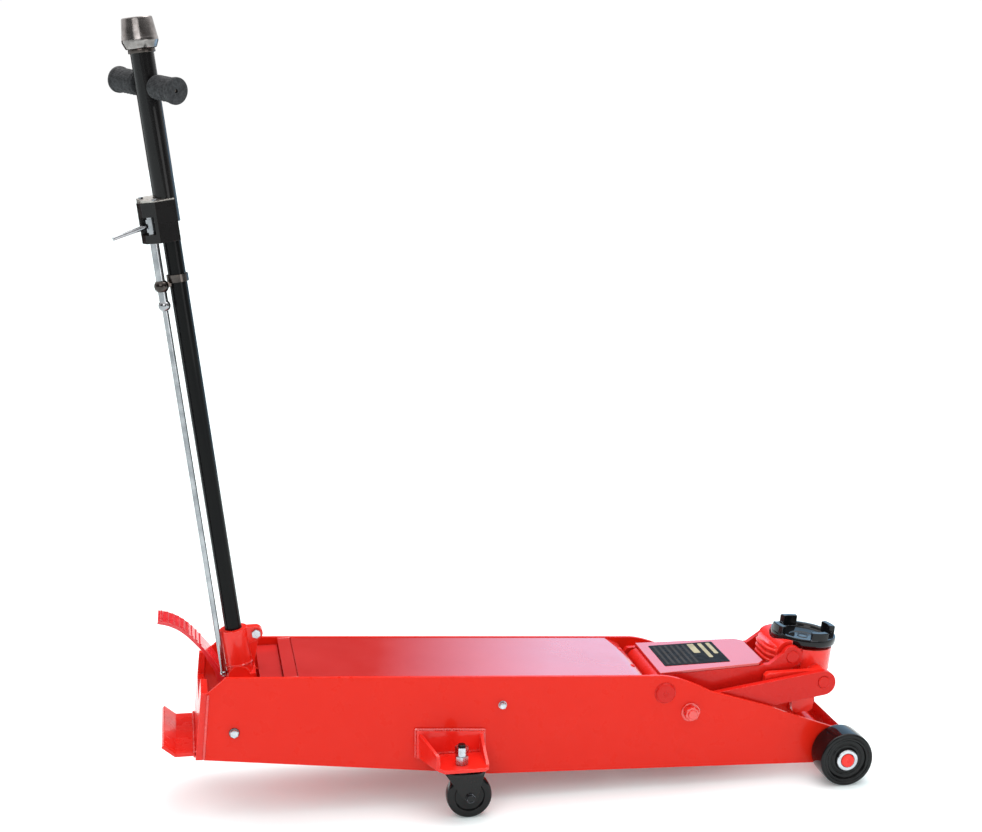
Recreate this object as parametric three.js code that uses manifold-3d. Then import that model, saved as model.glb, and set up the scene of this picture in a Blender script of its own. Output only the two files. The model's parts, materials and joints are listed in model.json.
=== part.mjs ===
// Long-chassis hydraulic floor jack: a low frame on two front wheels and two rear casters, a lifting arm
// with a levelled saddle head, a hydraulic unit with a ram, a tall pump handle with a release rod, and a
// foot pedal. Millimetres, +Z up, +X forwards, +Y to the jack's left, floor at z = 0.
// Every length along X is measured from the front axle, and the assembly group puts that axle in place.
import * as THREE from "three";
import { mergeVertices } from "three/addons/utils/BufferGeometryUtils.js";
import { ConvexGeometry } from "three/addons/geometries/ConvexGeometry.js";
import Module from "manifold-3d";

const wasm = await Module();
wasm.setup();

// ---------------------------------------------------------------- driving dimensions
const GAP = 0.3; // clearance between touching pieces
const FRONT_AXLE_X = 768.2; // front axle from the middle of the object's box

const FRAME = { half: 137, plate: 8, rearX: -1441, topRearX: -1390, topFrontX: -412 };
const INNER = FRAME.half - FRAME.plate;
const TOP = { rearZ: 320, frontZ: 266 };
const AXLE = { z: 63, r: 15.5, halfLength: 206 };
const FRONT_WHEEL = { r: 63, width: 64, middleY: 171 };
const COVER = { rearX: -1236, frontX: -490, thick: 5, flangeX: -456, flangeZ: 254 };

const ARM_PIVOT = [-417, 226];
const LINK_PIVOT = [-356, 177];
const LINK_HEAD = [-33, 223];
const HEAD_PIVOT = [ARM_PIVOT[0] + LINK_HEAD[0] - LINK_PIVOT[0], ARM_PIVOT[1] + LINK_HEAD[1] - LINK_PIVOT[1]];
const ARM = { half: 103, plate: 14, taper: 0.0712, coverFrontX: -162, tubeR: 28.2, shaftR: 20, lobeR: 25 };
const LINK = { inner: 108, outer: 124, r: 29, drop: 2.5 };
const SADDLE_TILT = THREE.MathUtils.degToRad(6); // the saddle leans forwards
const SADDLE = { x: -40, z: 283, r: 77, rim: 23, lug: 40, turn: 10, pinR: 18 };

const RAM_TILT = THREE.MathUtils.degToRad(5); // the ram points down to the front
const CRANK = { r: 100, midSwing: THREE.MathUtils.degToRad(14.75), pinR: 13, inner: 25, outer: 38 };
const RAM_PER_RADIAN = 94.3; // ram travel for one radian of the arm
const CYLINDER = { rear: -744, step: -420, front: -112, tankR: 42, tubeR: 33, ramR: 24 };

const HANDLE_LEAN = THREE.MathUtils.degToRad(7.3);
const HANDLE_TURN = THREE.MathUtils.degToRad(22);
const SOCKET = { x: -1368, topZ: 381, r: 30, bore: 19, depth: 108 };
const HANDLE_PIVOT = [-1352, 262];
const ROLLER = { arm: 40, rest: THREE.MathUtils.degToRad(20), r: 11, pinR: 6 };
const LOWER_TUBE = { r: 18.5, from: -80, to: 945 };
const UPPER_TUBE = { r: 24, bore: 18.8, from: 900, to: 1252 };
const TEE = {
  at: 1179.6,
  turn: THREE.MathUtils.degToRad(11.4),
  tilt: THREE.MathUtils.degToRad(10.4),
  barR: 11,
  half: 100,
  gripR: 25,
  flangeR: 27.5,
};
const RELEASE = { offset: -38, blockFrom: 862, blockTo: 946, rodR: 9, thinR: 6 };

const PEDAL_SHAFT = [-1375, 196];
const PEDAL = { inner: 38, outer: 116, finger: 30 };
const CASTER = { x: -893, y: 206, trail: 16, r: 50, half: 15, crownZ: 103, shelfZ: 113, shelf: 8, pinR: 8 };

// ---------------------------------------------------------------- materials
const paint = (color, roughness, metalness = 0.1) => () =>
  new THREE.MeshStandardMaterial({ color, roughness, metalness });
const RED = paint(0xd8322a, 0.3);
const BLACK = paint(0x0c0c0d, 0.3);
const WHEEL_BLACK = paint(0x101013, 0.35, 0);
const RUBBER = paint(0x2b2c2d, 0.8, 0);
const CHROME = paint(0xc9cbce, 0.12, 1);
const ZINC = paint(0xbfc3c8, 0.3, 1);
const STEEL = paint(0x6f6a68, 0.28, 1);
const IRON = paint(0x7d2a26, 0.5, 0.3);

// ---------------------------------------------------------------- solids
// A closed three.js geometry as a manifold solid, turned the right way out.
function solid(geometry) {
  const bare = geometry.index ? geometry.toNonIndexed() : geometry.clone();
  bare.deleteAttribute("normal");
  bare.deleteAttribute("uv");
  const merged = mergeVertices(bare, 1e-3);
  const position = merged.attributes.position;
  const faces = [];
  const [a, b, c] = [new THREE.Vector3(), new THREE.Vector3(), new THREE.Vector3()];
  let volume = 0;
  for (let i = 0; i < merged.index.count; i += 3) {
    const face = [0, 1, 2].map((k) => merged.index.getX(i + k));
    if (face[0] === face[1] || face[1] === face[2] || face[2] === face[0]) continue;
    [a, b, c].forEach((corner, k) => corner.fromBufferAttribute(position, face[k]));
    volume += a.dot(b.cross(c));
    faces.push(face);
  }
  if (volume < 0) faces.forEach((face) => face.reverse());
  return new wasm.Manifold(
    new wasm.Mesh({
      numProp: 3,
      vertProperties: new Float32Array(position.array),
      triVerts: new Uint32Array(faces.flat()),
    }),
  );
}

const join = (...geometries) => geometries.map(asSolid).reduce((whole, next) => whole.add(next));
const cut = (body, ...tools) => tools.map(asSolid).reduce((rest, tool) => rest.subtract(tool), asSolid(body));
const asSolid = (shape) => (shape.isBufferGeometry ? solid(shape) : shape);

function geometryOf(body) {
  const mesh = asSolid(body).getMesh();
  const points = new Float32Array(mesh.numVert * 3);
  for (let i = 0; i < mesh.numVert; i++) {
    points.set(mesh.vertProperties.subarray(i * mesh.numProp, i * mesh.numProp + 3), i * 3);
  }
  const geometry = new THREE.BufferGeometry();
  geometry.setAttribute("position", new THREE.BufferAttribute(points, 3));
  geometry.setIndex(new THREE.BufferAttribute(new Uint32Array(mesh.triVerts), 1));
  geometry.computeVertexNormals();
  return geometry;
}

// ---------------------------------------------------------------- shapes
const outline = (points) => new THREE.Shape(points.map(([x, y]) => new THREE.Vector2(x, y)));

// A flat bar's outline round two pins, with its own radius at each.
function barOutline([x1, z1], r1, [x2, z2], r2) {
  const along = Math.atan2(z2 - z1, x2 - x1);
  const side = Math.PI / 2 - Math.asin((r1 - r2) / Math.hypot(x2 - x1, z2 - z1));
  const shape = new THREE.Shape();
  shape.absarc(x2, z2, r2, along - side, along + side, false);
  shape.absarc(x1, z1, r1, along + side, along + 2 * Math.PI - side, false);
  return shape;
}

function withHoles(shape, ...holes) {
  for (const [[x, z], r] of holes) {
    shape.holes.push(new THREE.Path().absarc(x, z, r, 0, 2 * Math.PI, true));
  }
  return shape;
}

// Extrudes an outline drawn in X and Z from y0 to y1.
function acrossY(shape, y0, y1, curveSegments = 12) {
  const geometry = new THREE.ExtrudeGeometry(shape, { depth: y1 - y0, bevelEnabled: false, curveSegments });
  return geometry.rotateX(Math.PI / 2).translate(0, y1, 0);
}

// Extrudes an outline drawn in X and Y from z0 to z1.
function upZ(shape, z0, z1, curveSegments = 12) {
  const geometry = new THREE.ExtrudeGeometry(shape, { depth: z1 - z0, bevelEnabled: false, curveSegments });
  return geometry.translate(0, 0, z0);
}

const pinY = ([x, z], r, y0, y1, sides = 28) =>
  new THREE.CylinderGeometry(r, r, y1 - y0, sides).translate(x, (y0 + y1) / 2, z);

// A rod between two points, round or with few sides.
function rod(from, to, r1, r2 = r1, sides = 20) {
  const [start, end] = [new THREE.Vector3(...from), new THREE.Vector3(...to)];
  const axis = end.clone().sub(start);
  const geometry = new THREE.CylinderGeometry(r2, r1, axis.length(), sides);
  const up = new THREE.Vector3(0, 1, 0);
  const turn = new THREE.Quaternion().setFromUnitVectors(up, axis.clone().normalize());
  return geometry.applyQuaternion(turn).translate(...start.add(end).multiplyScalar(0.5).toArray());
}

const box = (x0, x1, y0, y1, z0, z1) =>
  new THREE.BoxGeometry(x1 - x0, y1 - y0, z1 - z0).translate((x0 + x1) / 2, (y0 + y1) / 2, (z0 + z1) / 2);

// A turned piece on the Y axis. Profile points are [radius, distance along the axis].
const turned = (profile, sides = 36) =>
  new THREE.LatheGeometry(profile.map(([r, along]) => new THREE.Vector2(r, along)), sides);

const hull = (points) => new ConvexGeometry(points.map((p) => new THREE.Vector3(...p)));

const jack = new THREE.Group();
const assembly = new THREE.Group();
assembly.position.x = FRONT_AXLE_X;
jack.add(assembly);

function add(name, body, material, parent = assembly) {
  const mesh = new THREE.Mesh(geometryOf(body), material());
  mesh.name = name;
  parent.add(mesh);
  return mesh;
}

const SIDES = [["right", -1], ["left", 1]];
// The same span on either side: from a to b away from the middle plane.
const span = (sign, a, b) => (sign < 0 ? [-b, -a] : [a, b]);

// ---------------------------------------------------------------- frame
const TOP_SLOPE = (TOP.frontZ - TOP.rearZ) / (FRAME.topFrontX - FRAME.topRearX);
const topZ = (x) => TOP.rearZ + TOP_SLOPE * (x - FRAME.topRearX);

function sidePlateOutline() {
  const shape = new THREE.Shape();
  shape.moveTo(FRAME.rearX, 138);
  shape.lineTo(-816, 62);
  shape.lineTo(-72, 34);
  shape.lineTo(10, 31);
  shape.quadraticCurveTo(46, 31, 47, 63);
  shape.quadraticCurveTo(46, 95, 10, 111);
  shape.lineTo(-20, 121);
  shape.lineTo(-117, 157);
  shape.lineTo(-170, 179);
  shape.lineTo(-309, 223);
  shape.quadraticCurveTo(-380, 262, FRAME.topFrontX - 12, topZ(FRAME.topFrontX - 12));
  shape.lineTo(FRAME.topRearX, TOP.rearZ);
  shape.lineTo(-1428, 288);
  shape.closePath();
  return shape;
}

const STUD_R = 11;
const TIE_ROD = [-790, 222];
const TIE_R = 7.5;
for (const [side, sign] of SIDES) {
  const plate = withHoles(
    sidePlateOutline(),
    [[0, AXLE.z], AXLE.r + GAP],
    [ARM_PIVOT, ARM.shaftR + GAP],
    [LINK_PIVOT, STUD_R + GAP],
    [TIE_ROD, TIE_R + GAP],
    [PEDAL_SHAFT, 10 + GAP],
  );
  add(`side_plate_${side}`, acrossY(plate, ...span(sign, INNER, FRAME.half)), RED);
}

const BETWEEN = INNER - GAP; // half width of what stands between the side plates
{
  const { rearX, frontX, thick, flangeX, flangeZ } = COVER;
  const edge = [
    [rearX, topZ(rearX) - 1],
    [rearX, topZ(rearX) - 1 - thick],
    [frontX - 2, topZ(frontX) - 1 - thick],
    [flangeX - 4, flangeZ - 5],
    [flangeX, flangeZ],
    [frontX, topZ(frontX) - 1],
  ];
  add("main_cover", acrossY(outline(edge), -BETWEEN, BETWEEN), RED);
}
add(
  "rear_crossmember",
  acrossY(outline([[-1266, 301], [-1237, 301], [-1237, 309], [-1266, 309]]), -BETWEEN, BETWEEN),
  RED,
);
// The rear plate is cut down in the middle for the handle and the pedal.
add(
  "rear_cross_plate",
  cut(
    acrossY(outline([[-1441.4, 138], [-1428.4, 288], [-1443, 289], [-1458, 139]]), -FRAME.half, FRAME.half),
    box(-1480, -1400, -46, 122, 238, 300),
  ),
  RED,
);
add(
  "rear_step",
  acrossY(
    outline([[-1458.6, 140], [-1501, 140], [-1529, 163], [-1524, 169], [-1498, 148], [-1458, 148]]),
    -116,
    116,
  ),
  RED,
);
add("front_cross_plate", acrossY(outline([[27, 42], [35, 42], [35, 92], [27, 100]]), -BETWEEN, BETWEEN), RED);
add("arm_pivot_shaft", pinY(ARM_PIVOT, ARM.shaftR, -FRAME.half - 5, FRAME.half + 5, 36), RED);
for (const [side, sign] of SIDES) {
  const nut = pinY(LINK_PIVOT, 18, ...span(sign, FRAME.half + GAP, FRAME.half + 14), 6);
  add(`link_stud_${side}`, join(pinY(LINK_PIVOT, STUD_R, ...span(sign, 105, FRAME.half + 18)), nut), RED);
}

// A rod through both side plates with a hex head outside each.
function throughBolt(at, r, headR, headThick) {
  const [near, far] = [FRAME.half + GAP, FRAME.half + headThick];
  const heads = SIDES.map(([, sign]) => pinY(at, headR, ...span(sign, near, far), 6));
  return join(pinY(at, r, -FRAME.half - headThick / 2, FRAME.half + headThick / 2), ...heads);
}
add("tie_rod", throughBolt(TIE_ROD, TIE_R, 11.5, 8), ZINC);
add("pedal_shaft", throughBolt(PEDAL_SHAFT, 10, 14, 9), ZINC);

// ---------------------------------------------------------------- front wheels
const axle = pinY([0, AXLE.z], AXLE.r, -AXLE.halfLength, AXLE.halfLength, 36);
add("front_axle", axle, RED);
function frontWheel() {
  const half = FRONT_WHEEL.width / 2;
  const r = FRONT_WHEEL.r;
  const face = (end) => [
    [AXLE.r + 0.5, end * half],
    [27, end * half],
    [29, end * (half - 6)],
    [47, end * (half - 6)],
    [50, end * (half - 1)],
    [56, end * (half - 1)],
    [60.5, end * (half - 8)],
    [r - 0.5, end * (half - 18)],
  ];
  const ring = [...face(-1), [r, 0], ...face(1).reverse()];
  return turned([...ring, ring[0]], 44);
}
for (const [side, sign] of SIDES) {
  const wheel = add(`front_wheel_${side}`, frontWheel(), WHEEL_BLACK);
  wheel.position.set(0, sign * FRONT_WHEEL.middleY, AXLE.z);
}

// ---------------------------------------------------------------- rear casters
function casterBracket() {
  const at = FRAME.half + GAP;
  const { shelfZ, shelf } = CASTER;
  const pad = acrossY(outline([[-982, shelfZ], [-833, shelfZ], [-833, 166], [-982, 176]]), at, at + 8);
  const plan = [[-978, at + 4], [-946, 224], [-934, 238], [-846, 238], [-836, 226], [-836, at + 4]];
  const leftGusset = hull([
    [-979, at + 4, shelfZ + 1], [-979, at + 4, 170], [-972, at + 4, 170], [-972, at + 4, shelfZ + 1],
    [-950, 220, shelfZ + 1], [-950, 220, 148], [-943, 224, 148], [-943, 224, shelfZ + 1],
  ]);
  const rightGusset = hull([
    [-842, at + 4, shelfZ + 1], [-842, at + 4, 164], [-836, at + 4, 164], [-836, at + 4, shelfZ + 1],
    [-842, 226, shelfZ + 1], [-842, 226, shelfZ + shelf + 3],
    [-836, 226, shelfZ + shelf + 3], [-836, 226, shelfZ + 1],
  ]);
  const whole = join(pad, upZ(outline(plan), shelfZ, shelfZ + shelf), leftGusset, rightGusset);
  return cut(whole, rod([CASTER.x, CASTER.y, 100], [CASTER.x, CASTER.y, 140], CASTER.pinR + GAP));
}

function casterFork() {
  const { crownZ, trail, half, r } = CASTER;
  const crown = upZ(barOutline([-6, 0], 34, [trail + 4, 0], 34), crownZ, crownZ + 6);
  const race = rod([0, 0, crownZ + 5], [0, 0, CASTER.shelfZ - GAP], 30, 30, 28);
  const kingpin = rod([0, 0, crownZ + 5], [0, 0, 166], CASTER.pinR);
  const foot = [[trail + 15, r - 6], [trail, r - 15], [trail - 15, r - 2]];
  const leg = outline([[-38, crownZ + 3], [48, crownZ + 3], ...foot]);
  const legs = SIDES.map(([, sign]) => acrossY(leg, ...span(sign, half + 2.5, half + 7)));
  const axle = pinY([trail, r], 6, -half - 9, half + 9, 16);
  return join(crown, race, kingpin, ...legs, axle);
}

// The nut that holds the kingpin on the shelf, with its lock nut above.
function kingpinNut() {
  const nut = rod([0, 0, 122], [0, 0, 140], 15, 15, 6);
  const lockNut = rod([0, 0, 145], [0, 0, 161], 15, 15, 6).rotateZ(0.4);
  const washer = rod([0, 0, 139], [0, 0, 146], 12, 12, 20);
  return cut(join(nut, washer, lockNut), rod([0, 0, 110], [0, 0, 180], CASTER.pinR + GAP));
}

function casterWheel() {
  const { half, r } = CASTER;
  const face = (end) => [
    [6.5, end * (half + 1)],
    [13, end * (half + 1)],
    [15, end * (half - 4)],
    [32, end * (half - 4)],
    [35, end * half],
    [44, end * half],
    [r - 1, end * (half - 6)],
  ];
  const ring = [...face(-1), [r, 0], ...face(1).reverse()];
  return turned([...ring, ring[0]], 36);
}

for (const [side, sign] of SIDES) {
  add(`caster_bracket_${side}`, casterBracket(), RED).scale.y = sign;
  add(`caster_fork_${side}`, casterFork(), BLACK).position.set(CASTER.x, sign * CASTER.y, 0);
  add(`kingpin_nut_${side}`, kingpinNut(), ZINC).position.set(CASTER.x, sign * CASTER.y, 0);
  const wheel = add(`caster_wheel_${side}`, casterWheel(), WHEEL_BLACK);
  wheel.position.set(CASTER.x + CASTER.trail, sign * CASTER.y, CASTER.r);
}

// ---------------------------------------------------------------- lifting arm
const armTop = (x) => 254.7 + 0.0148 * (x + 420);
function armPlateOutline() {
  const [px, pz] = HEAD_PIVOT;
  const shape = new THREE.Shape();
  shape.moveTo(-442, armTop(-442));
  shape.quadraticCurveTo(-466, 226, -442, 190);
  shape.quadraticCurveTo(-425, 180, -400, 180);
  shape.lineTo(-330, 182);
  shape.lineTo(-134, 223);
  shape.absarc(px, pz, ARM.lobeR, -1.2, 2.7, false);
  shape.lineTo(-150, armTop(-150));
  shape.closePath();
  return withHoles(shape, [ARM_PIVOT, ARM.shaftR + GAP], [HEAD_PIVOT, 15 + GAP]);
}

// Leans an arm plate inwards towards the head.
function lean(sign) {
  const slope = -sign * ARM.taper;
  return new THREE.Matrix4().set(1, 0, 0, 0, slope, 1, 0, -slope * ARM_PIVOT[0], 0, 0, 1, 0, 0, 0, 0, 1);
}

for (const [side, sign] of SIDES) {
  const plate = acrossY(armPlateOutline(), ...span(sign, ARM.half - ARM.plate, ARM.half));
  add(`arm_plate_${side}`, plate.applyMatrix4(lean(sign)), RED);
}
{
  const halfAt = (x) => ARM.half - ARM.taper * (x - ARM_PIVOT[0]);
  const front = ARM.coverFrontX;
  const half = [[-420, halfAt(-420)], [front - 16, halfAt(front - 16)], [front, halfAt(front) - 16]];
  const plan = [...half.map(([x, y]) => [x, -y]), ...half.reverse()];
  const rise = new THREE.Matrix4().set(1, 0, 0, 0, 0, 1, 0, 0, 0.0148, 0, 1, 0.0148 * 420, 0, 0, 0, 1);
  add("arm_cover", upZ(outline(plan), 254.7 + GAP, 261).applyMatrix4(rise), RED);
}

// The ram's line: s runs forwards along it from below the arm pivot, t is the distance below the pivot.
const [RAM_COS, RAM_SIN] = [Math.cos(RAM_TILT), Math.sin(RAM_TILT)];
const onRam = (s, t) => [
  ARM_PIVOT[0] + s * RAM_COS - t * RAM_SIN,
  ARM_PIVOT[1] - s * RAM_SIN - t * RAM_COS,
];
const CRANK_PIN = onRam(-CRANK.r * Math.sin(CRANK.midSwing), CRANK.r * Math.cos(CRANK.midSwing));
{
  const tube = pinY(ARM_PIVOT, ARM.tubeR, -(ARM.half - ARM.plate - 2.5), ARM.half - ARM.plate - 2.5, 36);
  const crank = () => barOutline(ARM_PIVOT, ARM.tubeR, CRANK_PIN, 24);
  const cranks = SIDES.map(([, sign]) => acrossY(crank(), ...span(sign, CRANK.inner, CRANK.outer)));
  const bore = pinY(ARM_PIVOT, ARM.shaftR + GAP, -120, 120, 36);
  const pinHole = pinY(CRANK_PIN, CRANK.pinR + GAP, -60, 60, 24);
  add("arm_tube", cut(join(tube, ...cranks), bore, pinHole), RED);
}
add("crank_pin", pinY(CRANK_PIN, CRANK.pinR, -CRANK.outer - 4, CRANK.outer + 4, 24), STEEL);
add("head_pin", pinY(HEAD_PIVOT, 15, -83, 83), RED);

// ---------------------------------------------------------------- saddle head, links and saddle
for (const [side, sign] of SIDES) {
  const rear = [LINK_PIVOT[0], LINK_PIVOT[1] - LINK.drop];
  const front = [LINK_HEAD[0], LINK_HEAD[1] - LINK.drop];
  const bar = barOutline(rear, LINK.r, front, LINK.r);
  withHoles(bar, [LINK_PIVOT, STUD_R + GAP], [LINK_HEAD, 14.5]);
  add(`link_${side}`, acrossY(bar, ...span(sign, LINK.inner, LINK.outer)), RED);
}

// The saddle and the top of the head lean a little forwards, in a frame of their own at the saddle's foot.
const nose = new THREE.Matrix4().makeRotationY(SADDLE_TILT).setPosition(SADDLE.x, 0, SADDLE.z);
const onNose = (geometry) => geometry.applyMatrix4(nose);

function saddleHead() {
  const [rear, half, round] = [-99, 60, 40];
  const block = new THREE.Shape();
  block.moveTo(-20, half);
  block.absarc(rear + round, half - round, round, Math.PI / 2, Math.PI, false);
  block.absarc(rear + round, -half + round, round, Math.PI, 1.5 * Math.PI, false);
  block.lineTo(-20, -half);
  block.closePath();
  const neck = rod([0, 0, -57], [0, 0, -3], 70, 70, 48);
  const clearance = box(-120, -24, -90, 90, -70, 0);
  const knuckle = pinY(HEAD_PIVOT, 33, -61, 61, 36);
  const linkBoss = pinY(LINK_HEAD, 24, -105, 105, 32);
  // Cheeks between the arm and the links, each with a toe below.
  const cheek = [
    [-168, 211], [-106, 202], [-98, 150], [-92, 146], [-58, 146], [-50, 152], [-42, 200],
    [-22, 200], [-16, 208], [-16, 238], [-24, 245], [-160, 245], [-168, 238],
  ];
  const cheeks = SIDES.map(([, sign]) => acrossY(outline(cheek), ...span(sign, 88.5, 104)));
  return cut(
    join(
      onNose(geometryOf(cut(neck, clearance))),
      onNose(upZ(block, -57, -3, 10)),
      knuckle,
      linkBoss,
      ...cheeks,
    ),
    pinY(HEAD_PIVOT, 15.4, -70, 70),
    pinY(LINK_HEAD, 14 + GAP, -120, 120),
    onNose(rod([0, 0, -42], [0, 0, 40], SADDLE.pinR + 0.5, SADDLE.pinR + 0.5, 28)),
    onNose(rod([0, 0, -2], [0, 0, 60], SADDLE.r + 1.5, SADDLE.r + 1.5, 48)),
  );
}
add("saddle_head", saddleHead(), RED);
add("link_pin", pinY(LINK_HEAD, 14, -127.5, 127.5), STEEL);

function saddle() {
  const { r, rim, lug, pinR } = SADDLE;
  const dish = [
    [0, -40], [pinR, -40], [pinR, 0], [r - 12, 0], [r - 1, 7], [r, rim - 7], [r - 2, rim],
    [r - 10, rim], [r - 14, rim - 9], [30, rim - 13], [0, rim - 13],
  ];
  const cup = turned(dish, 48).rotateX(Math.PI / 2);
  const lugs = [0, 1, 2, 3].map((quarter) => {
    const angle = THREE.MathUtils.degToRad(SADDLE.turn + 90 * quarter);
    const arc = new THREE.Shape();
    arc.absarc(0, 0, r - 1, angle - 0.3, angle + 0.3, false);
    arc.absarc(0, 0, r - 15, angle + 0.3, angle - 0.3, true);
    return upZ(arc, rim - 12, lug, 4);
  });
  return onNose(geometryOf(join(cup, ...lugs)));
}
add("saddle", saddle(), BLACK);

// ---------------------------------------------------------------- hydraulic unit and ram
const SLOT_T = (CRANK.r * (1 + Math.cos(THREE.MathUtils.degToRad(39.25)))) / 2;
const alongRam = (s0, s1, r, sides = 32) => {
  const [a, b] = [onRam(s0, SLOT_T), onRam(s1, SLOT_T)];
  return rod([a[0], 0, a[1]], [b[0], 0, b[1]], r, r, sides);
};
const PUMP = { y: 14, z: 223, r: 9 };
const FOOT_PUMP = { y: 60, z: 168, r: 8 };
const UNIT_REAR = -1300;
{
  const topFront = onRam(CYLINDER.rear - GAP, SLOT_T - 56);
  const lowFront = onRam(CYLINDER.rear - GAP, SLOT_T + 50);
  const block = acrossY(outline([[UNIT_REAR, 150], lowFront, topFront, [UNIT_REAR, 262]]), -80, 80);
  const lug = () => barOutline(HANDLE_PIVOT, 20, [UNIT_REAR + 12, 246], 18);
  const lugs = SIDES.map(([, sign]) => acrossY(lug(), ...span(sign, 37, 49)));
  const valveArm = box(-1402, UNIT_REAR + 2, -22, -3, 180, 222);
  add(
    "power_unit",
    cut(
      join(block, ...lugs, valveArm),
      pinY(HANDLE_PIVOT, 12 + GAP, -60, 60),
      pinY(PEDAL_SHAFT, 10.5, -30, 0),
      rod([UNIT_REAR - 10, PUMP.y, PUMP.z], [-1205, PUMP.y, PUMP.z], PUMP.r + 0.4),
      rod([UNIT_REAR - 10, FOOT_PUMP.y, FOOT_PUMP.z], [-1225, FOOT_PUMP.y, FOOT_PUMP.z], FOOT_PUMP.r + 0.4),
      rod([-1386, -12.5, 207], [-1386, -12.5, 230], 5.4),
    ),
    IRON,
  );
}
add("reservoir", alongRam(CYLINDER.rear, CYLINDER.step, CYLINDER.tankR), IRON);
{
  const { step, front, tubeR, ramR } = CYLINDER;
  const body = join(alongRam(step + GAP, front - 20, tubeR), alongRam(front - 22, front, tubeR + 5, 6));
  add("cylinder", cut(body, alongRam(step + 8, front + 10, ramR + 0.4)), IRON);
}
{
  const middle = -RAM_PER_RADIAN * CRANK.midSwing;
  const head = (s0, s1, t0, t1) =>
    acrossY(outline([onRam(s0, t1), onRam(s1, t1), onRam(s1, t0), onRam(s0, t0)]), -21, 21);
  const block = head(middle - 28, middle + 28, SLOT_T - 37, SLOT_T + 37);
  const slot = barOutline(onRam(middle, SLOT_T - 12), 15.2, onRam(middle, SLOT_T + 12), 15.2);
  const stem = alongRam(-366, middle - 25, CYLINDER.ramR);
  add("ram", cut(join(stem, block), acrossY(slot, -40, 40)), CHROME);
}
add("pump_plunger", rod([-1353.8, PUMP.y, PUMP.z], [-1245, PUMP.y, PUMP.z], PUMP.r), CHROME);
add(
  "foot_plunger",
  rod([PEDAL_SHAFT[0] + 12.2, FOOT_PUMP.y, FOOT_PUMP.z], [-1245, FOOT_PUMP.y, FOOT_PUMP.z], FOOT_PUMP.r),
  CHROME,
);
{
  const [x, y] = [-1386, -12.5];
  add("valve_stem", join(rod([x, y, 208], [x, y, 229], 5), rod([x, y, 222.4], [x, y, 229], 8, 8, 6)), ZINC);
}

// ---------------------------------------------------------------- pump handle
// Two nested groups: one leans back with the handle, and one is also turned about the handle's own axis.
const leaning = new THREE.Group();
leaning.position.set(SOCKET.x, 0, SOCKET.topZ);
leaning.rotation.y = -HANDLE_LEAN;
assembly.add(leaning);
const handle = new THREE.Group();
handle.rotation.z = HANDLE_TURN;
leaning.add(handle);

const tubeZ = (z0, z1, r, sides = 28) => rod([0, 0, z0], [0, 0, z1], r, r, sides);
const ROLLER_AT = [
  HANDLE_PIVOT[0] - ROLLER.arm * Math.sin(ROLLER.rest),
  HANDLE_PIVOT[1] - ROLLER.arm * Math.cos(ROLLER.rest),
];
{
  const sleeve = join(
    tubeZ(-SOCKET.depth, 4, SOCKET.r, 36),
    box(-23, 34, -34, 34, -SOCKET.depth - 6, -SOCKET.depth + 12),
    acrossY(barOutline([22, -16], 20, [47, -14], 15), -10, 10),
    hull([[20, -28], [52, -24], [24, -88], [32, -88]].flatMap(([x, z]) => [[x, -5, z], [x, 5, z]])),
  );
  const leanBack = (shape) => asSolid(shape).rotate([0, -THREE.MathUtils.radToDeg(HANDLE_LEAN), 0]);
  const lower = leanBack(sleeve);
  const cheek = () => barOutline(HANDLE_PIVOT, 20, [-1358, 283], 24);
  const cheeks = SIDES.map(([, sign]) => acrossY(cheek(), ...span(sign, 24, 34)));
  const rollerArm = acrossY(barOutline(HANDLE_PIVOT, 18, ROLLER_AT, 12), 24, 34);
  const bore = leanBack(tubeZ(LOWER_TUBE.from - 2, 20, SOCKET.bore, 32));
  const boltHole = leanBack(pinY([47, -14], 5.6, -30, 30, 16));
  const place = [SOCKET.x, 0, SOCKET.topZ];
  add(
    "handle_socket",
    cut(
      join(lower.translate(place), ...cheeks, rollerArm),
      bore.translate(place),
      boltHole.translate(place),
      pinY(HANDLE_PIVOT, 12 + GAP, -60, 60),
      pinY(ROLLER_AT, ROLLER.pinR + GAP, 20, 40, 16),
    ),
    RED,
  );
}
add("handle_pivot_pin", pinY(HANDLE_PIVOT, 12, -53, 53), STEEL);
add("pump_roller", join(pinY(ROLLER_AT, ROLLER.r, 4, 23.4), pinY(ROLLER_AT, ROLLER.pinR, 10, 36, 16)), STEEL);
const clampBolt = join(pinY([47, -14], 5.3, -16, 18, 16), pinY([47, -14], 10.5, -18, -10.4, 6));
add("clamp_bolt", clampBolt, ZINC, leaning);

add("lower_tube", tubeZ(LOWER_TUBE.from, LOWER_TUBE.to, LOWER_TUBE.r, 32), BLACK, handle);
// The cross bar goes through the upper tube at a slant, in a group of its own.
const tee = new THREE.Group();
tee.position.z = TEE.at;
tee.rotation.set(TEE.tilt, 0, TEE.turn, "ZYX");
tee.updateMatrix();
handle.add(tee);

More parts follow.
